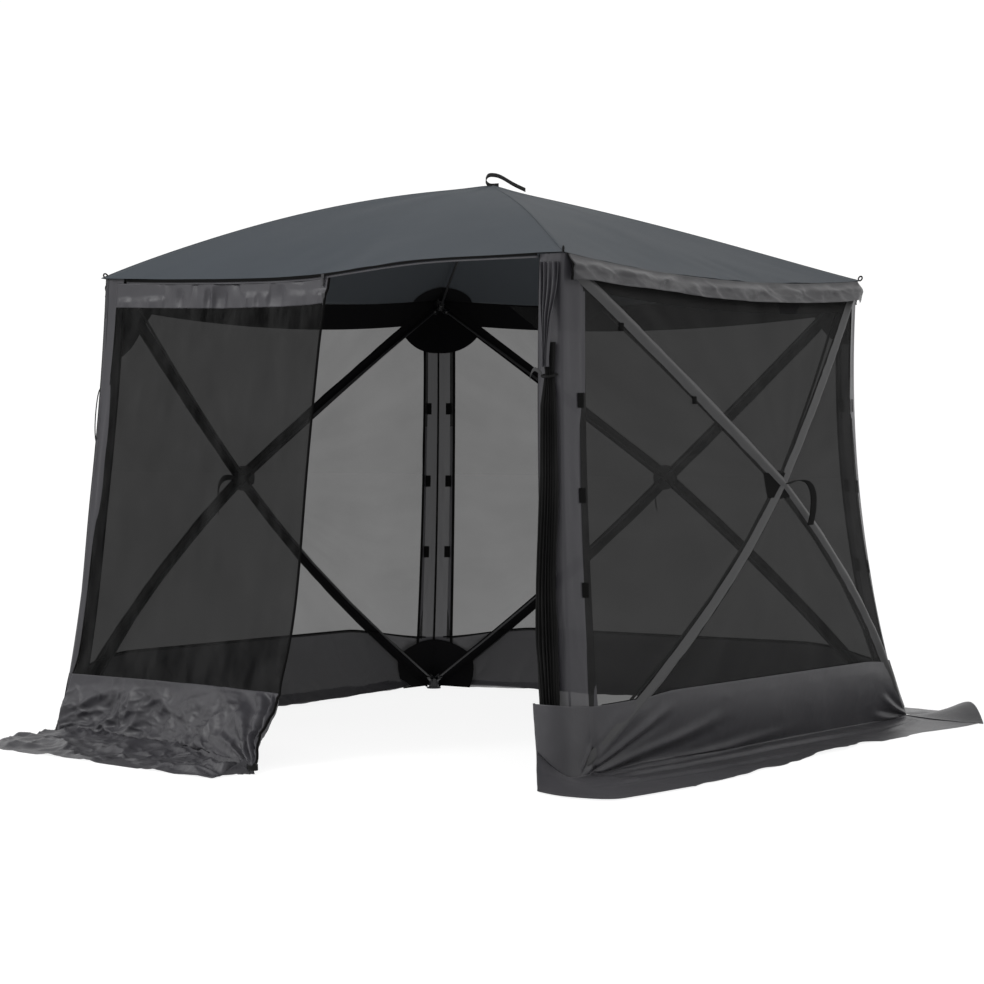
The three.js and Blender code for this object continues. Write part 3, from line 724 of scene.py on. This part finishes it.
# Long folds in the east skirt: from and to, each along from the left foot and down from the
# upper edge, then width and height. The second list is measured from the right foot instead.
LEFT_FOLDS = [(0.02, 0.27, 0.60, 0.03, 0.020, 0.011), (0.02, 0.28, 1.10, 0.10, 0.022, 0.010),
              (0.02, 0.29, 1.70, 0.22, 0.018, 0.012), (0.00, 0.25, 0.25, 0.02, 0.014, 0.007),
              (0.05, 0.33, 2.30, 0.37, 0.020, 0.012), (-0.10, 0.40, 1.50, 0.52, 0.022, 0.009)]
RIGHT_FOLDS = [(-0.02, 0.27, -0.40, 0.22, 0.014, 0.010), (-0.02, 0.26, -0.33, 0.13, 0.015, 0.010),
               (-0.02, 0.24, -0.20, 0.04, 0.012, 0.008), (-0.05, 0.34, -0.60, 0.46, 0.022, 0.009)]


def fold_line(u, v, fold, origin):
    """A soft fold along a line, with a hollow beside it, fading towards its ends."""
    u0, v0, u1, v1, width, height = fold
    u0, u1 = u0 + origin, u1 + origin
    du, dv = u1 - u0, v1 - v0
    length = math.hypot(du, dv)
    t = ((u - u0) * du + (v - v0) * dv) / length**2
    off = ((v - v0) * du - (u - u0) * dv) / length + 0.010 * noise(u * 3, v * 3, 61)
    off = off / (width * (0.5 + 0.9 * np.clip(t, 0, 1)))
    profile = np.exp(-(off**2)) - 0.6 * np.exp(-((off - 1.6) ** 2))
    return height * profile * smooth(t, 0.0, 0.12) * (1 - smooth(t, 0.55, 1.0))


def turn_corner(side_grid, top, foot, hem, count, rows, k):
    """Columns of cloth that carry a skirt on round a corner from its last column."""
    wall, ground = side_grid
    top = through([wall[0], *top], count)[1:]
    foot = through([wall[-1], *foot], count)[1:]
    hem = through([ground[-1], *hem], count)[1:]
    v = down(1.0, 0.0, rows)[..., None]
    upper = foot + (top - foot) * v
    lower = foot + (hem - foot) * k[..., None]
    lower[..., 2] = hem[:, 2] * k**2 + foot[:, 2] * (1 - k) ** 1.6 + 0.0015
    return np.concatenate([upper, lower])


def skirts():
    """Solid cloth round the foot of a wall, lying out over the ground in front of it."""
    rows = 46
    k = down(0.02, 1.0, rows)
    for side in HUB_SIDES:
        left, right = corner_at(side, -1), corner_at(side, 1)
        east = side == "east"
        u = across(221, -0.935 if east else -1.0, 1.0)
        v = down(1.0, 0.0, rows)
        z = 0.016 + (skirt_top(side, (1 - np.abs(u)) * 1.22) - 0.016) * v
        ends = np.where(u < 0, corner_half(z, left), corner_half(z, right))
        y = u * ends
        tuck = WEST_TUCK * arch((u + 1) / 2) if side == "west" else 0.0
        belly = 0.004 + (0.016 - tuck) * (1 - v) ** 2
        wall_x, wall_follow = wall_shape(side, y, z)
        wall = xyz(wall_x + belly, y, z)
        foot = wall[-1:]
        if east:
            far = np.interp(foot[..., 1], [p[0] for p in EAST_HEM], [p[1] for p in EAST_HEM])
        elif side == "north":
            far = 1.840 - 0.24 * np.abs(u) ** 3
        else:
            far = 1.300 + 0.27 * smooth(1 - u, 0.20, 0.60)
        wave = 0.010 * noise(u * 8, 0 * u, 60) + 0.005 * noise(u * 21, 0 * u, 61)
        gx = foot[..., 0] + (far + wave - foot[..., 0]) * k
        gy = foot[..., 1] * (1 + (0.0 if east else 0.06) * k * smooth(np.abs(u), 0.85, 1.0))
        ground = xyz(gx, gy, 0.013 * (1 - k) ** 3 + 0.0016)
        points = np.concatenate([wall, ground])
        weight = np.concatenate([wall_follow, 0 * gx])
        if east:
            boot = turn_corner((wall[:, 0], ground[:, 0]), BOOT_TOP, BOOT_FOOT, BOOT_HEM, 72, rows, k)
            apron = turn_corner((wall[:, -1], ground[:, -1]), APRON_TOP, APRON_FOOT, APRON_HEM, 50, rows, k)
            points = np.concatenate([boot[:, ::-1], points, apron], 1)
            weight = np.pad(weight, ((0, 0), (boot.shape[1], apron.shape[1])))
        a, b = cloth_lengths(points)
        b = b + 0 * a
        toe, heel = (np.abs(points[rows, :, 1] - at).argmin() for at in (-1.27, 1.27))
        left_foot, right_foot, crook = a[0, toe], a[0, heel], b[rows - 1, 0]
        if east:
            folds = sum(fold_line(a, b, fold, left_foot) for fold in LEFT_FOLDS)
            folds = folds + sum(fold_line(a, b, fold, right_foot) for fold in RIGHT_FOLDS)
            folds = folds + 0.0035 * crumple(a * 2.6, b * 3.5, 65, 3, 0.15)
        else:
            folds = 0.012 * rays(a, b, (left_foot, crook), 10, 0.50, 62)
            folds = folds + 0.012 * rays(a, b, (right_foot, crook), 10, 0.50, 63)
            folds = folds + 0.010 * crumple(a * 3.0, b * 2.4, 65, 3, 0.08)
        folds = folds * smooth(b, 0.0, 0.05) * (0.3 + 0.7 * smooth(b.max() - b, 0.0, 0.04))
        points = pushed(points, folds, (1, 0, 0.4))
        curl = 0.014 * np.maximum(0, noise(a * 3.1, 0 * a, 66)) * smooth(b, b.max() - 0.10, b.max())
        points[rows:, :, 2] += curl[rows:]
        points[..., 2] = np.maximum(points[..., 2], 0.0012)
        patch = (turned(points, side), "skirt", turned((1, 0, 0.4), side), weight)
        cloth = make_cloth(f"skirt_{side}_cloth", [patch], body=f"{side}_hub", thick=CLOTH if east else 0.0)
        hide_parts(f"skirt_{side}")
        inner = wall[0, 4:-4:2] + np.array([-0.010, 0, -0.002])
        make_tube(f"skirt_{side}_binding", turned(inner, side), 0.0035, "black", body=f"{side}_hub", sides=6,
                  weight=wall_follow[0, 4:-4:2])


# ---- roof


def roof_point(t, s, side):
    """The roof cloth on one side: t from the eave to the peak, s along the eave."""
    half = ROOF_EDGE * (1 - t)
    left, right = (ROOF_BOW[corner_at(side, hand)] for hand in (-1, 1))
    rise = EAVE + (PEAK - EAVE) * t + (left + (right - left) * s) * arch(t)
    sag = eave_sag(side, s) * (1 - t) ** 2 - eave_lift(side, s) * (1 - t) ** 6
    return turned(xyz(half + 0 * s, (2 * s - 1) * half, rise - sag), side)


def roof():
    """One continuous canopy over the four roof poles, with a seam over each."""
    rows, cols = 90, 60
    t = 1 - (1 - down(0, 0.992, rows)) ** 1.15
    quarter = [roof_point(t, across(cols + 1)[:, :-1], side) for side in SIDES]
    points = np.concatenate(quarter, 1)
    u = np.tile(np.linspace(0, 1, cols + 1)[:-1], 4)[None]
    turn = np.arange(4 * cols)[None]
    tension = 0.0035 * noise(turn * 0.10, t * 3, 70) * arch(u)
    pucker = 0.0030 * noise(turn * 0.40, t * 7, 71) * (1 - t) ** 5 * arch(u)
    points = pushed(points, tension + pucker, (0, 0, 1))
    radius = np.hypot(points[..., 0], points[..., 1])
    points[..., 2] += 0.008 * np.exp(-((radius / 0.10) ** 2))
    for corner, (sx, sy) in CORNERS.items():
        far = np.hypot(points[..., 0] - sx * TOP_HALF, points[..., 1] - sy * TOP_HALF)
        pull = PUSHED_OUT[corner] * np.exp(-((far / 0.30) ** 2))
        points += pull[..., None] * np.array([sx, sy, 0.0])
    reach = np.maximum(np.abs(points[..., 0]), np.abs(points[..., 1])) / ROOF_EDGE
    canopy = make_cloth("roof_cloth", [(points, "roof", (0, 0, 1), np.clip(1 - reach, 0, 1))],
                        body="roof_hub", wrap=True)
    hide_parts("roof_canopy")
    for k, corner in enumerate(("se", "ne", "nw", "sw")):
        line = points[::2, k * cols] + np.array([0, 0, 0.0004])
        follow = 1 - np.abs(line[:, 0]) / ROOF_EDGE
        make_tube(f"roof_seam_{corner}", line, 0.0012, "roof", body="roof_hub", sides=6, weight=follow)
    patches = []
    for side in SIDES:
        t0 = down(0.0, 0.105, 12)
        for hand in (0, 1):
            w = across(12, 0.0, 0.200 / (2 * TOP_HALF))
            keep = np.sqrt(np.clip(1 - (t0 / 0.107) ** 2, 0.0, 1))
            s = w * keep if hand == 0 else 1 - w * keep
            points = roof_point(t0 + 0.004, s, side) - np.array([0, 0, 0.004])
            patches.append((points, "dark", (0, 0, -1), t0))
    pads = make_cloth("roof_corner_pads", patches, body="roof_hub")


def eave_bands():
    """Short valances over the tops of the hub walls, from the roof's edge down."""
    for side in HUB_SIDES:
        k, s = down(0.0, 1.0, 20), np.r_[0.011, np.linspace(0.0150, 0.990, 199)][None, :]
        y = (2 * s - 1) * ROOF_EDGE
        top = EAVE - SAG[side] * arch(s) + eave_lift(side, s) - 0.0015
        z = top - VALANCE * k * (1 + 0.05 * noise(s * 7, 0 * s, 79) + 0.30 * np.exp(-s / 0.06))
        hang = wall_shape(side, y, z - 0.02)[0] + 0.024
        points = xyz(ROOF_EDGE + (hang - ROOF_EDGE) * smooth(k, 0.0, 0.45), y, z)
        folds = 0.010 * crease(noise(s * 13 + 1.6 * k, k * 1.3, 80), 0.06)
        folds = folds + 0.011 * crumple(y * 5 - z * 8, z * 11 + y * 4, 81, 3, 0.03)
        points[..., 0] += folds * smooth(k, 0.0, 0.4)
        tail = smooth(s, 0.955, 0.990) if side == "east" else 0 * s
        points = points + xyz(-0.004, 0.006, -0.018) * (tail * k**1.5)[..., None]
        points = turned(points, side)
        # The valance look's darker grey is painted shade on the band.
        patches = [(points[:, cut], look, outward(side), 0.0)
                   for cut, look in ((slice(1, None), "valance"), (slice(0, 2), "black"))]
        band = make_cloth(f"eave_band_{side}_cloth", patches, thick=CLOTH)
        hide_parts(f"eave_band_{side}")


# ---- door wall


def door_seam(z):
    """Where the door's left edge is sewn, close to the corner low down and further in above."""
    inset = 0.045 + 0.022 * smooth(z, 1.10, 1.75) - 0.022 * (1 - smooth(z, 0.20, 0.34))
    return -(corner_half(z, "sw") - inset)


# The door skirt's hem on the ground: share of the way from the column to the free edge, x and y.
DOOR_HEM = [(0.0, -1.205, -1.715), (0.09, -1.070, -1.790), (0.44, -0.560, -1.872), (0.68, -0.206, -1.925),
            (0.86, 0.053, -1.985), (0.94, 0.215, -2.005), (1.0, 0.200, -1.800)]


def door_left():
    """Left half of the door: mesh with a solid band above and a solid skirt below."""
    f = across(260)
    high, low = EAVE - 0.020, 0.014
    breaks = (high, EAVE - 0.118, SKIRT, low)
    free = lambda z: (0.050 - 0.060 * arch(np.clip(z / EAVE, 0, 1)) + 0.20 * np.exp(-z / 0.13)
                      + 0.035 * np.exp(-(((z - 0.18) / 0.065) ** 2)))

    def hang(z):
        seam = door_seam(z)
        x = seam + (free(z) - seam) * f
        out = 0.50 * np.exp(-z / 0.24) * f**2.0 + 0.022 * np.exp(-z / 0.10)
        drawn = DRAW["sw"] * arch(z / EAVE) * (1 - f) ** 3
        s = (x / TOP_HALF + 1) / 2
        sag = (eave_sag("south", s) - eave_lift("south", s)) * smooth(z, 1.2, EAVE)
        return xyz(x, door_plane(z) - 0.012 - out + drawn, z - sag)

    def slack(points, z):
        """Billows and creases, kept behind the top zip's slider, which runs in front of the band."""
        billow = 0.014 * noise(f * 2.6, z * 0.9, 90) + 0.007 * noise(f * 8 + z, z * 1.3, 91)
        streaks = 0.005 * crease(noise(f * 21 + 0.8 * z, z * 1.6, 92), 0.15)
        gathers = 0.009 * crease(noise(f * 30 + 2 * z, z * 9, 93), 0.15) * smooth(z, EAVE - 0.17, EAVE - 0.07)
        loose = (billow + streaks) * arch(np.clip(f * 0.8 + 0.02, 0, 1)) + gathers
        return loose - smooth(points[..., 2], EAVE - 0.105, EAVE - 0.075) * np.maximum(loose + 0.003, 0)

    def follow(points, z):
        return smooth(points[..., 0] - door_seam(z), 0.02, 0.32)

    band_z, mesh_z, wall_z = (down(a, b, n) for a, b, n in zip(breaks, breaks[1:], (24, 130, 60)))
    band, mesh, wall = (pushed(hang(z), slack(hang(z), z), (0, -1, 0)) for z in (band_z, mesh_z, wall_z))
    k = down(0.02, 1, 70)
    foot = wall[-1:]
    share, hem_x, hem_y = zip(*DOOR_HEM)
    front = xyz(np.interp(f, share, hem_x), np.interp(f, share, hem_y), 0)
    wave = 0.010 * noise(f * 9, 0 * f, 94)
    near = foot + (front + xyz(0, wave, 0) - foot) * k[..., None]
    ground = xyz(near[..., 0], near[..., 1], 0.0125 * (1 - k) ** 2 + 0.0015)
    skirt = np.concatenate([wall, ground])
    a, b = cloth_lengths(skirt)
    a, b = a + 0 * b, b + 0 * a
    stake = (a[0, -1], b[len(wall_z), 0] + 0.02)
    folds = 0.024 * rays(a, b, stake, 15, 0.62, 95)
    folds = folds + 0.038 * crumple(a * 3.2 + b * 2.2, b * 4.4 - a, 96, 4, 0.012) * smooth(b, 0.01, 0.12)
    folds = folds + 0.006 * crumple(a * 9 + b * 5, b * 10, 97, 2, 0.03) * smooth(b, 0.03, 0.2)
    folds = folds * smooth(b, 0.0, 0.03) * (0.3 + 0.7 * smooth(b.max() - b, 0.0, 0.10))
    skirt = pushed(skirt, folds, (0, -1, 0.5))
    skirt[..., 2] = np.maximum(skirt[..., 2], 0.0015)
    low_z = np.concatenate([wall_z, 0 * k + low])
    skirt_follow = follow(np.concatenate([hang(wall_z), ground]), low_z)
    out = (0, -1, 0.2)
    for key, points, look, weight, size, above in (
        ("band", band, "grey", follow(band, band_z), (1.14, 0.10), "door_header_cloth"),
        ("mesh", mesh, "door_mesh", follow(mesh, mesh_z), (1.20, 1.52), "column_sw_cloth"),
        ("skirt", skirt, "grey", skirt_follow, (1.42, 0.66), "column_sw_cloth"),
    ):
        cloth = make_cloth(f"door_left_{key}", [(points, look, out, weight)], body="door_left",
                           thick=CLOTH if look == "grey" else 0.0)
        if key == "mesh":
            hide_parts("door_flap_left")
    edge = np.concatenate([band[:, -1], mesh[1:, -1], skirt[1:len(wall_z), -1]]) + np.array([0, -0.002, 0])
    seam = mesh[::3, 0] + np.array([0, 0.004, 0])
    for name, line, radius, weight in (("zip_tape", edge, 0.0055, 1.0), ("seam", seam, 0.004, 0.0)):
        make_tube(f"door_left_{name}", line, radius, "black", body="door_left", sides=6, weight=weight)
    for name, at, turn in (("door_stake_loop", edge[-1], 1), ("west_stake_loop", skirt[-1, 0], -1)):
        start = at + np.array([0, 0, 0.004])
        route = [start, start + (0.035 * turn, -0.02, 0.004), start + (0.055 * turn, -0.045, 0.001),
                 start + (0.030 * turn, -0.055, 0.0), start + (-0.005, -0.03, 0.002)]
        make_strap(name, route, (0.2, -0.3, 1.0), 0.020, body="door_left", weight=max(turn, 0.0))


def header():
    """The hem along the door eave, with the zip above it."""
    s = across(140, 0.046, 0.954)
    sag = eave_sag("south", s) - eave_lift("south", s)
    for name, top, tall, lift, look in (("door_header_cloth", 0.010, 0.012, 0.008, "grey"),
                                        ("door_top_zip", 0.001, 0.012, 0.013, "black")):
        z = EAVE - top - down(0, tall, 6) * (1 - 0.35 * smooth(s, 0.48, 0.56)) - sag
        ripple = 0.0015 * noise(s * 20, z * 30, 98)
        points = xyz((2 * s - 1) * TOP_HALF, door_plane(z) - lift - ripple, z)
        strip = make_cloth(name, [(points, look, (0, -1, 0), 0.0)], thick=CLOTH)
    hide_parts("door_header")


def bundle():
    """Right half of the door, gathered in folds and tied back along the corner column."""
    waist = np.array([[1.70, 0.019], [1.55, 0.021], [1.45, 0.014], [1.33, 0.025], [1.00, 0.029],
                      [0.74, 0.030], [0.48, 0.034], [0.22, 0.030]])
    z = np.linspace(1.560, 0.22, 200)[:, None]
    radius = np.interp(z, waist[::-1, 0], waist[::-1, 1])
    count = 18
    angle = across(8 * count + 1, 0, 2 * math.pi)[:, :-1]
    cx = corner_half(z, "se") - 0.044 - 0.023 * smooth(-z, -1.1, -0.6)
    cy = -(corner_half(z, "se") + radius + 0.004)
    twist = 1.6 * noise(z * 1.3, 0 * z, 100) + 0.8 * z
    depth = 0.44 + 0.10 * noise(angle * 3.5, z * 4, 102)
    folds = 0.74 + depth * np.sin(count * angle + 1.5 * twist) + 0.10 * np.sin(3 * angle + twist)
    r = radius * folds
    points = xyz(cx + r * np.cos(angle), cy + r * np.sin(angle), z)
    side = xyz(np.cos(angle) + 0 * z, np.sin(angle) + 0 * z, 0 * z)
    cloth = make_cloth("door_bundle_cloth", [(points, "gathered", side, 0.0)], wrap=True)
    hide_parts("door_bundle_right")
    z, a = down(EAVE - 0.014, 1.47, 90), across(64)
    width = 0.078 - 0.052 * smooth(EAVE - z, 0.0, 0.36)
    x = corner_half(z, "se") - 0.004 - width * a - 0.018 * smooth(EAVE - z, 0.1, 0.4)
    pleat = np.sin(a * 27 + 2.2 * noise(z * 4, a * 1.5, 103)) + 0.6 * noise(a * 9, z * 8, 104)
    y = -(corner_half(z, "se") + 0.016 + 0.0065 * pleat + 0.040 * smooth(EAVE - z, 0.03, 0.25))
    cloth = make_cloth("door_right_band", [(xyz(x, y, z), "grey", (0, -1, 0), 0.0)], thick=CLOTH)
    half = corner_half(TIE_HEIGHT, "se")
    turn = np.linspace(0, 2 * math.pi, 40)[:-1]
    ring = np.stack([half - 0.044 + 0.027 * np.cos(turn), -half - 0.019 + 0.027 * np.sin(turn),
                     TIE_HEIGHT + 0.006 * np.sin(turn)], 1)
    make_tube("door_tie", ring, 0.0045, "webbing", closed=True)
    tail = [(half - 0.066, -half - 0.035, 1.445), (half - 0.085, -half - 0.050, 1.462),
            (half - 0.100, -half - 0.052, 1.448), (half - 0.108, -half - 0.050, 1.425)]
    make_strap("door_tie_tail", tail, (0.2, -0.2, 1), 0.014, look="sleeve")


# ---- small parts


def small_parts():
    """Rings and eyelets at the top corners, tie tabs on the sleeves, a cord loop by the door."""
    turn = np.linspace(0, 2 * math.pi, 25)[:-1, None]
    for corner, (sx, sy) in CORNERS.items():
        centre = np.array([sx * (TOP_HALF + 0.012), sy * (TOP_HALF + 0.012), EAVE + RAISED[corner] + 0.010])
        ring = circle(centre, 0.009, np.array([sx, sy, 0.5]) / math.hypot(sx, sy, 0.5), UP, turn)
        make_tube(f"guy_ring_{corner}", ring, 0.0032, "webbing", closed=True)
    spot = np.array([-TOP_HALF + 0.022, door_plane(EAVE - 0.02) - 0.006, EAVE - 0.030])
    make_tube("eyelet_sw", circle(spot, 0.005, (1.0, 0, 0), UP, turn), 0.0018, "eyelet", closed=True)
    loop = [(-corner_half(z, "sw") - out, -corner_half(z, "sw") + 0.01, z) for z, out in
            ((1.42, 0.000), (1.395, 0.012), (1.34, 0.018), (1.27, 0.017), (1.22, 0.010), (1.19, 0.000))]
    route = through(loop, 30)
    cord = make_tube("cord_loop_sw", route, 0.0024, "webbing")
    for side, hand, top, t in (("east", -1, True, 0.26), ("east", -1, True, 0.58), ("west", 1, True, 0.58),
                               ("west", -1, False, 0.30), ("north", 1, True, 0.60)):
        _, y0, z0 = ridge(np.array([t]), hand, top)[0]
        y, z = across(4, y0 - 0.036, y0 - 0.014), down(z0 - 0.040, z0 - 0.012, 4)
        points, _ = wall_at(side, y, z, 0.0045)
        name = f"sleeve_tie_{side}_{'top' if top else 'bottom'}_{round(t * 100)}"
        make_cloth(name, [(points, "black", outward(side), t)], body=f"{side}_hub", thick=0.002)


def handle():
    """The webbing pulls: the roof's folded over to one side, the east wall's hanging in a loop."""
    roof = [(0.030, 0.006), (-0.008, 0.006), (-0.024, 0.024), (-0.014, 0.046), (0.014, 0.048),
            (0.044, 0.038), (0.092, 0.010), (0.142, -0.014)]
    roof = [(0.81 * r, 0.58 * r, PEAK + 0.004 + h) for r, h in roof]
    east = [(1.418, 0.0, 1.035), (1.432, 0.050, 1.047), (1.456, 0.092, 1.040), (1.470, 0.110, 0.995),
            (1.467, 0.115, 0.930), (1.455, 0.115, 0.872)]
    for side, route, wide, width in (("roof", roof, (-0.42, 0.60, 0.68), 0.025),
                                     ("east", east, (0.81, 0.58, 0.10), 0.024)):
        strap = make_strap(f"{side}_pull", route, wide, width, body=f"{side}_hub", weight=1.0)
        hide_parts(f"strap_{side}")


def finishes():
    """Better materials on the CAD nodes that stay."""
    kinds = {"hub": "plastic", "pole": "rod", "corner": "plastic", "foot": "plastic",
             "strap": "webbing", "zip": "metal"}
    for name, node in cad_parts.items():
        look = kinds.get(name.split("_")[0])
        if look:
            node.data.materials.clear()
            node.data.materials.append(LOOKS[look])


# ---- stage


def camera():
    """A long lens at the height of somebody's chest, off the south-east corner."""
    cam = added("camera", bpy.data.cameras.new("camera"))
    cam.location = CAMERA_AT
    forward = Vector(CAMERA_AHEAD).normalized()
    cam.rotation_euler = forward.to_track_quat("-Z", "Y").to_euler()
    cam.data.lens = LENS
    cam.data.sensor_width = SENSOR
    bpy.context.scene.camera = cam


def studio():
    """A white floor and sky with a broad soft key light from the left."""
    mesh = bpy.data.meshes.new("floor")
    corners = [(x * FLOOR_HALF, y * FLOOR_HALF, 0) for x, y in ((-1, -1), (1, -1), (1, 1), (-1, 1))]
    mesh.from_pydata(corners, [], [(0, 1, 2, 3)])
    floor = added("floor", mesh)
    pale = bpy.data.materials.new("pale_floor")
    pale.use_nodes = True
    fill(pale.node_tree.nodes["Principled BSDF"], {
        "Base Color": (FLOOR_GREY, FLOOR_GREY, FLOOR_GREY, 1), "Roughness": 0.9, "Specular IOR Level": 0.0,
        "Emission Color": (1, 1, 1, 1), "Emission Strength": FLOOR_GLOW})
    mesh.materials.append(pale)
    world = bpy.data.worlds.new("studio")
    bpy.context.scene.world = world
    world.use_nodes = True
    fill(world.node_tree.nodes["Background"], {"Color": (1, 1, 1, 1), "Strength": AMBIENT})
    for name, (spot, energy) in LAMPS.items():
        light = bpy.data.lights.new(name, "AREA")
        light.size = LAMP_WIDE
        light.energy = energy
        lamp = added(name, light)
        lamp.location = spot
        lamp.rotation_euler = (LAMPS_AIM - lamp.location).to_track_quat("-Z", "Y").to_euler()
    bpy.context.scene.view_settings.view_transform = "Standard"


camera()
studio()
finishes()
mesh_walls()
sleeves()
hub_patches()
corner_pads()
columns()
skirts()
roof()
eave_bands()
header()
door_left()
bundle()
small_parts()
handle()
